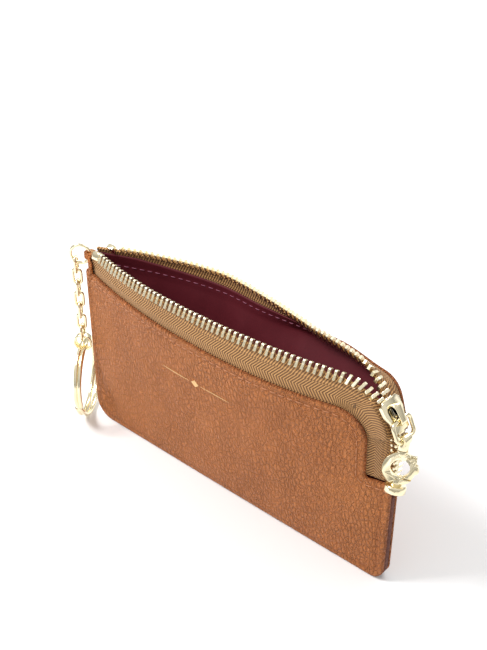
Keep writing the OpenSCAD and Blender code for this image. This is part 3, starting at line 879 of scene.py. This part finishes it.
# ---------------------------------------------------------------- pieces repeated along a rail
def rail_tree():
    """Geometry nodes: copies of one piece at an even pitch along a rail.

    The rail lies straight along X at its own length, and its attributes say where each point really
    is (place), which way a piece stands (reach) and which way the rail runs (along).
    """
    tree = bpy.data.node_groups.new("pieces_along_rail", "GeometryNodeTree")
    face = tree.interface
    face.new_socket("Rail", in_out="INPUT", socket_type="NodeSocketGeometry")
    face.new_socket("Pitch", in_out="INPUT", socket_type=FLOAT)
    face.new_socket("Piece", in_out="INPUT", socket_type="NodeSocketObject")
    face.new_socket("Least size", in_out="INPUT", socket_type=VECTOR)
    face.new_socket("Most size", in_out="INPUT", socket_type=VECTOR)
    face.new_socket("Seed", in_out="INPUT", socket_type="NodeSocketInt")
    face.new_socket("Material", in_out="INPUT", socket_type="NodeSocketMaterial")
    face.new_socket("Pieces", in_out="OUTPUT", socket_type="NodeSocketGeometry")
    given = tree.nodes.new("NodeGroupInput").outputs
    sink = tree.nodes.new("NodeGroupOutput")

    def stored(label):
        node = add(tree, "GeometryNodeInputNamedAttribute", {"Name": label}, data_type="FLOAT_VECTOR")
        return node.outputs["Attribute"]

    curve = add(tree, "GeometryNodeMeshToCurve", {"Mesh": given["Rail"]}).outputs[0]
    spaced = add(tree, "GeometryNodeResampleCurve", {"Curve": curve, "Length": given["Pitch"]}, mode="LENGTH")
    placed = add(tree, "GeometryNodeSetPosition",
                 {"Geometry": spaced.outputs[0], "Position": stored("place")})
    turned = add(tree, "FunctionNodeAxesToRotation",
                 {"Primary Axis": stored("reach"), "Secondary Axis": stored("along")},
                 primary_axis="Z", secondary_axis="X")
    source = add(tree, "GeometryNodeObjectInfo", {"Object": given["Piece"]})
    size = add(tree, "FunctionNodeRandomValue", data_type="FLOAT_VECTOR")
    tree.links.new(given["Least size"], size.inputs[0])
    tree.links.new(given["Most size"], size.inputs[1])
    tree.links.new(given["Seed"], size.inputs["Seed"])
    copies = add(tree, "GeometryNodeInstanceOnPoints",
                 {"Points": placed.outputs[0], "Instance": source.outputs["Geometry"],
                  "Rotation": turned.outputs[0], "Scale": size.outputs[0]})
    real = add(tree, "GeometryNodeRealizeInstances", {"Geometry": copies.outputs[0]})
    done = add(tree, "GeometryNodeSetMaterial", {"Geometry": real.outputs[0], "Material": given["Material"]})
    tree.links.new(done.outputs[0], sink.inputs[0])
    return tree


RAIL_TREE = rail_tree()


def set_input(modifier, tree, label, value):
    for item in tree.interface.items_tree:
        if item.item_type == "SOCKET" and item.in_out == "INPUT" and item.name == label:
            modifier[item.identifier] = value
            return
    raise KeyError(label)


def along_rail(name, lengths, places, reach, along, pitch, piece, material, least, most, seed):
    """A mesh of copies of piece, with lengths, places and pitch in millimetres."""
    mesh = bpy.data.meshes.new(name)
    verts = [(value * MM, 0, 0) for value in lengths]
    mesh.from_pydata(verts, [(i, i + 1) for i in range(len(verts) - 1)], [])
    for label, values in (("place", np.asarray(places) * MM), ("reach", reach), ("along", along)):
        layer = mesh.attributes.new(label, "FLOAT_VECTOR", "POINT")
        layer.data.foreach_set("vector", np.asarray(values, np.float32).ravel())
    obj = bpy.data.objects.new(name, mesh)
    bpy.context.collection.objects.link(obj)
    modifier = obj.modifiers.new("rows", "NODES")
    modifier.node_group = RAIL_TREE
    set_input(modifier, RAIL_TREE, "Pitch", pitch * MM)
    set_input(modifier, RAIL_TREE, "Piece", piece)
    set_input(modifier, RAIL_TREE, "Least size", least)
    set_input(modifier, RAIL_TREE, "Most size", most)
    set_input(modifier, RAIL_TREE, "Seed", seed)
    set_input(modifier, RAIL_TREE, "Material", material)
    return apply_modifiers(obj)


def slab(name, profile, half, chamfer):
    """A bar with a closed Y-Z profile, half wide each way along X, with its end edges taken off."""
    profile = np.array(profile, float)
    middle = profile.mean(axis=0)
    small = profile + (middle - profile) * (chamfer / np.linalg.norm(profile - middle, axis=1))[:, None]
    rings = [(-half, small), (-half + chamfer, profile), (half - chamfer, profile), (half, small)]
    verts = [(x, y, z) for x, ring in rings for y, z in ring]
    count = len(profile)
    faces = grid_faces(len(rings), count, close_cols=True)
    faces += [tuple(range(count)), tuple(range(3 * count, 4 * count))]
    return face_out(mesh_object(name, verts, faces, smooth_faces=False))


# ---------------------------------------------------------------- teeth
def tooth_seed():
    """One tooth: two legs that grip the cord of the tape, and a head with its corners taken off."""
    leg, head = 0.96, 0.9
    profile = [(-leg, -1.5), (-leg + 0.5, -1.55), (-0.5, -0.25), (0.5, -0.25), (leg - 0.5, -1.55),
               (leg, -1.5), (leg, 0.15), (head, 0.55), (head, 1.4), (0.6, 1.8), (-0.6, 1.8),
               (-head, 1.4), (-head, 0.55), (-leg, 0.15)]
    return slab("tooth_seed", profile, 0.5, 0.13)


def make_teeth(side, name, piece):
    start = 2.0 + (0 if side == FRONT else TOOTH_PITCH / 2)
    count = 69
    s = np.linspace(start, start + count * TOOTH_PITCH, count * 3 + 1)
    x, z = path_xz(s, 0)
    places = np.stack([x, side * ridge_depth(side, x), z], axis=1)
    lean = np.radians(25 + 65 * np.minimum(1, closed_at(s) * 1.3))
    phi = np.radians(90 - turn_of(s))
    reach = np.stack([np.cos(lean) * np.sin(phi), -side * np.sin(lean), np.cos(lean) * np.cos(phi)], axis=1)
    along = np.stack([np.cos(phi), np.zeros_like(phi), -np.sin(phi)], axis=1)
    teeth = along_rail(name, s - start, places, reach, along, TOOTH_PITCH * 1.00001, piece, TOOTH_METAL,
                       (0.97, 0.97, 0.97), (1.03, 1.02, 1.02), 7)
    mounted(teeth, "pouch", "gold_metal", name[:-6])
    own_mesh(teeth)
    return teeth


tooth = tooth_seed()
front_teeth_metal = make_teeth(FRONT, "front_teeth_metal", tooth)
back_teeth_metal = make_teeth(BACK, "back_teeth_metal", tooth)
bpy.data.objects.remove(tooth)


# ---------------------------------------------------------------- stitching
def thread_seed(length, radius, rise_by):
    """One stitch: a short thread that comes up out of one hole and dives into the next."""
    verts, sides = [], 6
    stations = np.linspace(-1, 1, 7)
    for u in stations:
        thick = radius * (0.55 + 0.45 * math.sqrt(max(0.0, 1 - u ** 4)))
        for k in range(sides):
            angle = 2 * math.pi * k / sides
            verts.append((u * length / 2, thick * math.cos(angle),
                          rise_by * (1 - u * u) - radius * 0.4 * u ** 4 + thick * math.sin(angle)))
    faces = grid_faces(len(stations), sides, close_cols=True)
    faces += [tuple(range(sides)), tuple(range((len(stations) - 1) * sides, len(stations) * sides))]
    return face_out(mesh_object("thread_seed", verts, faces))


def resample(points, step):
    points = np.asarray(points, float)
    gaps = np.linalg.norm(np.diff(points, axis=0), axis=1)
    lengths = np.concatenate([[0], np.cumsum(gaps)])
    count = max(2, int(lengths[-1] / step))
    even = np.linspace(0, lengths[-1], count)
    return np.stack([np.interp(even, lengths, points[:, k]) for k in range(points.shape[1])], axis=1)


def stitch_row(name, side, flat_route, depth_at, pitch, piece, material, proud, inward=False, seed=3):
    """Stitches along a route in the X-Z plane, laid on the surface that depth_at gives."""
    route = resample(flat_route, 0.6)
    x, z = route[:, 0], route[:, 1]

    def surface(px, pz):
        return leaned(side, np.stack([px, side * depth_at(px, pz), pz], axis=1))

    here = surface(x, z)
    gap = 0.35
    across = surface(x + gap, z) - surface(x - gap, z)
    up = surface(x, z + gap) - surface(x, z - gap)
    normal = np.cross(across, up)
    normal /= np.linalg.norm(normal, axis=1)[:, None]
    away = side * (-1 if inward else 1)
    normal *= np.sign(normal[:, 1:2] * away)
    along = np.gradient(here, axis=0)
    along /= np.linalg.norm(along, axis=1)[:, None]
    lengths = np.concatenate([[0], np.cumsum(np.linalg.norm(np.diff(here, axis=0), axis=1))])
    row = along_rail(name, lengths, here + normal * proud, normal, along, pitch, piece, material,
                     (0.93, 0.9, 0.9), (1.05, 1.05, 1.05), seed)
    mounted(row, "pouch", "leather" if not inward else "lining")
    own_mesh(row)
    return row


def topstitch_route():
    inner = STEP_R + STITCH_IN
    side_x = ARC_X + CUT_R - STITCH_IN
    route = [(-HALF_W + 2.5, LEATHER_TOP - STITCH_IN), (ARC_X, LEATHER_TOP - STITCH_IN)]
    route += arc(ARC_X, ARC_Z, CUT_R - STITCH_IN, 90, 0)
    route += arc(side_x + inner, CUT_Z + STEP_R, inner, 180, 270)
    route += [(HALF_W - 1.0, CUT_Z - STITCH_IN)]
    return route


def hem_route():
    route = [(x, RIDGE_H - float(hem_in(x))) for x in np.arange(LINING_LEFT + 1.5, ARC_X, 2.0)]
    radius = CORNER_R - float(hem_in(ARC_X))
    return route + arc(ARC_X, ARC_Z, radius, 90, 0) + [(ARC_X + radius, CUT_Z + 4)]


leather_stitch = thread_seed(2.25, 0.2, 0.12)
lining_stitch = thread_seed(1.9, 0.16, 0.1)
for which, word in ((FRONT, "front"), (BACK, "back")):
    stitch_row(word + "_topstitch", which, topstitch_route(),
               lambda px, pz, which=which: leather_face(which, px, pz)[0], 3.0, leather_stitch,
               TAN_THREAD, 0.02, seed=3 + which)
    stitch_row(word + "_lining_stitch", which, hem_route(),
               lambda px, pz, which=which: lining_face(which, px, pz)[0] - LINING_T, 3.0, lining_stitch,
               WINE_THREAD, 0.03, inward=True, seed=6 + which)
bpy.data.objects.remove(leather_stitch)
bpy.data.objects.remove(lining_stitch)


# ---------------------------------------------------------------- metal with softened edges
def softened(node, width, body, slot, material, segments=3, angle=28):
    """The node's own shape with its edges rounded, as cast and polished metal has them."""
    import bmesh

    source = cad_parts[node]
    mesh = source.data.copy()
    obj = bpy.data.objects.new(node + "_polished", mesh)
    bpy.context.collection.objects.link(obj)
    bm = bmesh.new()
    bm.from_mesh(mesh)
    bmesh.ops.remove_doubles(bm, verts=bm.verts, dist=2e-6)
    bmesh.ops.dissolve_limit(bm, angle_limit=math.radians(1.5), verts=bm.verts, edges=bm.edges)
    bm.to_mesh(mesh)
    bm.free()
    bevel = obj.modifiers.new("soft_edges", "BEVEL")
    bevel.width = width * MM
    bevel.segments = segments
    bevel.limit_method = "ANGLE"
    bevel.angle_limit = math.radians(angle)
    bevel.harden_normals = True
    apply_modifiers(obj)
    obj.data.polygons.foreach_set("use_smooth", [True] * len(obj.data.polygons))
    paint(obj, material)
    mounted(obj, body, slot, node)
    return obj


def frames_along(path):
    """Two unit directions across a path, turned as little as possible from point to point."""
    path = np.asarray(path, float)
    along = np.gradient(path, axis=0)
    along /= np.linalg.norm(along, axis=1)[:, None]
    first = np.cross(along[0], [0.31, 0.57, 0.76])
    across = [first / np.linalg.norm(first)]
    for direction in along[1:]:
        v = across[-1] - direction * np.dot(across[-1], direction)
        across.append(v / np.linalg.norm(v))
    across = np.array(across)
    return across, np.cross(along, across)


def wire(name, path, radius, sides):
    """A round wire with two flat ends, along a path."""
    path = np.asarray(path, float)
    u, v = frames_along(path)
    radii = np.broadcast_to(np.asarray(radius, float), (len(path),))
    verts = []
    for p, a, b, r in zip(path, u, v, radii):
        for k in range(sides):
            angle = 2 * math.pi * k / sides
            verts.append(p + a * r * math.cos(angle) + b * r * math.sin(angle))
    faces = grid_faces(len(path), sides, close_rows=False, close_cols=True)
    faces += [tuple(range(sides)), tuple(range((len(path) - 1) * sides, len(path) * sides))]
    return face_out(mesh_object(name, verts, faces))


# ---------------------------------------------------------------- leather trims and stops
def trims():
    # The side welt wears the dark leather that stands in for painted shade.
    softened("side_welt", 0.45, "pouch", "leather", WELT_SHADE_LEATHER)
    softened("corner_tab", 0.3, "pouch", "leather", LEATHER)
    for stop in ("top_stop_front", "top_stop_back", "bottom_stop"):
        softened(stop, 0.45, "pouch", "gold_metal", GOLD, segments=4)


trims()


# ---------------------------------------------------------------- slider, puller and snap hook
for node, width, body in (("slider_body", 0.28, "slider"), ("slider_crown", 0.35, "slider"),
                          ("clasp_eye", 0.5, "swivel_eye"), ("clasp_body", 0.6, "hook"),
                          ("clasp_collar", 0.55, "hook"), ("clasp_gate", 0.4, "gate"),
                          ("clasp_gate_pin", 0.1, "hook"), ("slider_lock_pin", 0.1, "zip_pin"),
                          ("connector_ring", 0.3, "connector")):
    softened(node, width, body, "gold_metal", GOLD)
for node, body in (("slider_lock_spring", "slider"), ("clasp_gate_spring", "hook")):
    softened(node, 0.06, body, "spring_steel", STEEL, segments=2)

softened("puller_link", 0.04, "puller", "gold_metal", GOLD, segments=1, angle=50)
softened("corner_ring", 0.04, "corner_ring", "gold_metal", GOLD, segments=1, angle=50)
for number in range(1, 8):
    softened("chain_link_%d" % number, 0.04, "link_%d" % number, "gold_metal", GOLD, segments=1, angle=50)


# ---------------------------------------------------------------- split ring
COIL_R = 0.85
RING_TURN = math.radians(35)


def make_split_ring():
    """Two turns of wire, sprung a little apart at the bottom, with the two ends lying on them."""
    low, high = box_mm("key_ring")
    centre = (low + high) / 2
    radius = (high[2] - low[2]) / 2 - COIL_R
    axis = np.array([math.cos(RING_TURN), math.sin(RING_TURN), 0])
    flat = np.array([-math.sin(RING_TURN), math.cos(RING_TURN), 0])
    path = []
    for turn in np.linspace(0, 4 * math.pi, 193):
        cross = -1 + 2 * smooth((turn - 2 * math.pi + 0.3) / 0.6)
        angle = turn + math.radians(200)
        apart = 0.86 + 0.55 * max(0.0, -math.sin(angle)) ** 2
        place = centre + flat * radius * math.cos(angle) + np.array([0, 0, radius * math.sin(angle)])
        path.append(place + axis * COIL_R * apart * cross)
    ring = wire("key_ring_coils", path, COIL_R, sides=20)
    paint(ring, GOLD)
    mounted(ring, "key_ring", "gold_metal", "key_ring")


make_split_ring()


# ---------------------------------------------------------------- fold of leather at the chain end
def make_corner_fold():
    """Strip of leather turned round the ends of the two tapes, above the chain."""
    turns = [(-62.6, -3.7), (-64.3, -3.0), (-65.4, -1.7), (-65.8, 0.2),
             (-65.4, 2.0), (-64.3, 3.3), (-62.6, 4.2)]
    plan = np.array(turns)
    knots = np.linspace(0, 1, len(plan))
    even = np.linspace(0, 1, 49)
    bend = np.stack([np.interp(even, knots, plan[:, k]) for k in range(2)], axis=1)
    for _ in range(4):
        bend[1:-1] = (bend[:-2] + 2 * bend[1:-1] + bend[2:]) / 4
    along = np.gradient(bend, axis=0)
    out = np.stack([along[:, 1], -along[:, 0]], axis=1) / np.linalg.norm(along, axis=1)[:, None]
    if out[24][0] > 0:
        out = -out
    half, height = 0.5, 8.2
    ring = [(u * half, v) for u, v in ((-1, 0.25), (-0.5, 0), (0.5, 0), (1, 0.25), (1, height - 0.4),
                                       (0.5, height), (-0.5, height), (-1, height - 0.4))]
    verts = []
    for (x, y), (nx, ny), t in zip(bend, out, even):
        drop = 1.2 * abs(2 * t - 1) ** 2
        for u, v in ring:
            verts.append((x + nx * u, y + ny * u, 62.6 + v * (1 - drop / height)))
    faces = grid_faces(len(bend), len(ring), close_cols=True)
    faces += [tuple(range(len(ring))), tuple(range((len(bend) - 1) * len(ring), len(bend) * len(ring)))]
    fold = face_out(mesh_object("corner_fold", verts, faces))
    paint(fold, LEATHER)
    mounted(fold, "pouch", "leather")


make_corner_fold()


# ---------------------------------------------------------------- foil ornament on the front
def make_ornament():
    """Two thin tapered rules with a diamond between them, pressed in foil."""
    shapes = []
    for left, right in ((-21.0, -8.0), (-3.0, 10.0)):
        xs = np.linspace(left, right, 27)
        thick = 0.32 * np.sqrt(np.maximum(0.02, 1 - ((xs - (left + right) / 2) / ((right - left) / 2)) ** 2))
        shapes.append((xs, 48.6 - thick / 2, 48.6 + thick / 2))
    xs = np.linspace(-7.2, -3.8, 15)
    reach = 1.5 * (1 - np.abs(xs + 5.5) / 1.7)
    shapes.append((xs, 48.6 - reach - 0.02, 48.6 + reach + 0.02))
    verts, faces = [], []
    for xs, low, high in shapes:
        start = len(verts)
        for lift in (0.06, -0.1):
            for t in (0.0, 0.5, 1.0):
                z = low + (high - low) * t
                depth = leather_face(FRONT, xs, z)[0]
                verts += [(x, -(d + lift), zz) for x, d, zz in zip(xs, depth, z)]
        n = len(xs)
        for layer in (0, 3):
            for r in range(2):
                for c in range(n - 1):
                    a = start + (layer + r) * n + c
                    faces.append((a, a + 1, a + 1 + n, a + n))
        rim = [start + c for c in range(n)] + [start + n + n - 1]
        rim += [start + 2 * n + c for c in range(n - 1, -1, -1)]
        rim += [start + n]
        for a, b in zip(rim, rim[1:] + rim[:1]):
            faces.append((a, b, b + 3 * n, a + 3 * n))
    ornament = face_out(mesh_object("foil_ornament", verts, faces, smooth_faces=False))
    paint(ornament, FOIL)
    mounted(ornament, "pouch", "gold_metal")
    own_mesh(ornament)


make_ornament()


# ---------------------------------------------------------------- camera, light and floor
CAMERA_AZ, CAMERA_EL, CAMERA_ROLL = 41.204, 33.157, 0.194
CAMERA_AT = (193.46, -214.02, 257.20)


def make_camera():
    data = bpy.data.cameras.new("studio_camera")
    data.sensor_width = 36.0
    data.lens = 58.97
    data.clip_start, data.clip_end = 0.01, 20
    camera = bpy.data.objects.new("studio_camera", data)
    bpy.context.collection.objects.link(camera)
    turn = Matrix.Rotation(math.radians(CAMERA_AZ), 4, "Z")
    tilt = Matrix.Rotation(math.radians(90 - CAMERA_EL), 4, "X")
    roll_by = Matrix.Rotation(math.radians(CAMERA_ROLL), 4, "Z")
    camera.matrix_world = Matrix.Translation(Vector(CAMERA_AT) * MM) @ turn @ tilt @ roll_by
    bpy.context.scene.camera = camera


def area_light(name, place, target, size, power, colour=(1, 1, 1)):
    data = bpy.data.lights.new(name, "AREA")
    data.shape = "RECTANGLE"
    data.size, data.size_y = size
    data.energy = power
    data.color = colour
    light = bpy.data.objects.new(name, data)
    bpy.context.collection.objects.link(light)
    place, target = Vector(place), Vector(target)
    facing = (target - place).to_track_quat("-Z", "Y").to_matrix().to_4x4()
    light.matrix_world = Matrix.Translation(place) @ facing
    return light


def make_floor():
    import bmesh

    mesh = bpy.data.meshes.new("studio_floor")
    bm = bmesh.new()
    half = 6.0
    corners = [bm.verts.new((x * half, y * half, -0.00002)) for x, y in ((-1, -1), (1, -1), (1, 1), (-1, 1))]
    bm.faces.new(corners)
    bm.to_mesh(mesh)
    bm.free()
    floor = bpy.data.objects.new("studio_floor", mesh)
    bpy.context.collection.objects.link(floor)
    material, tree, shader = new_material("studio_floor", (0.95, 0.95, 0.95))
    shader.inputs["Base Color"].default_value = (0.93, 0.93, 0.93, 1)
    shader.inputs["Roughness"].default_value = 0.9
    shader.inputs["Specular IOR Level"].default_value = 0.1
    paint(floor, material)


def make_world():
    world = bpy.data.worlds.new("studio_air")
    bpy.context.scene.world = world
    world.use_nodes = True
    tree = world.node_tree
    sky = tree.nodes["Background"]
    where = add(tree, "ShaderNodeTexCoord").outputs["Generated"]
    height = add(tree, "ShaderNodeSeparateXYZ", {0: where}).outputs[2]
    level = maths(tree, "MULTIPLY_ADD", height, 0.5, 0.5)
    tree.links.new(grey_ramp(tree, level, [(0.45, 0.2), (0.56, 0.5), (0.78, 0.85)]), sky.inputs["Color"])
    sky.inputs["Strength"].default_value = 0.9


make_camera()
make_floor()
make_world()
area_light("key_softbox", (-0.42, -0.35, 0.7), (0, 0, 0.03), (0.3, 0.3), 6.2)
area_light("back_softbox", (-0.1, 0.6, 0.6), (0, 0, 0.05), (0.5, 0.25), 2.5)
bpy.context.scene.view_settings.view_transform = "Standard"
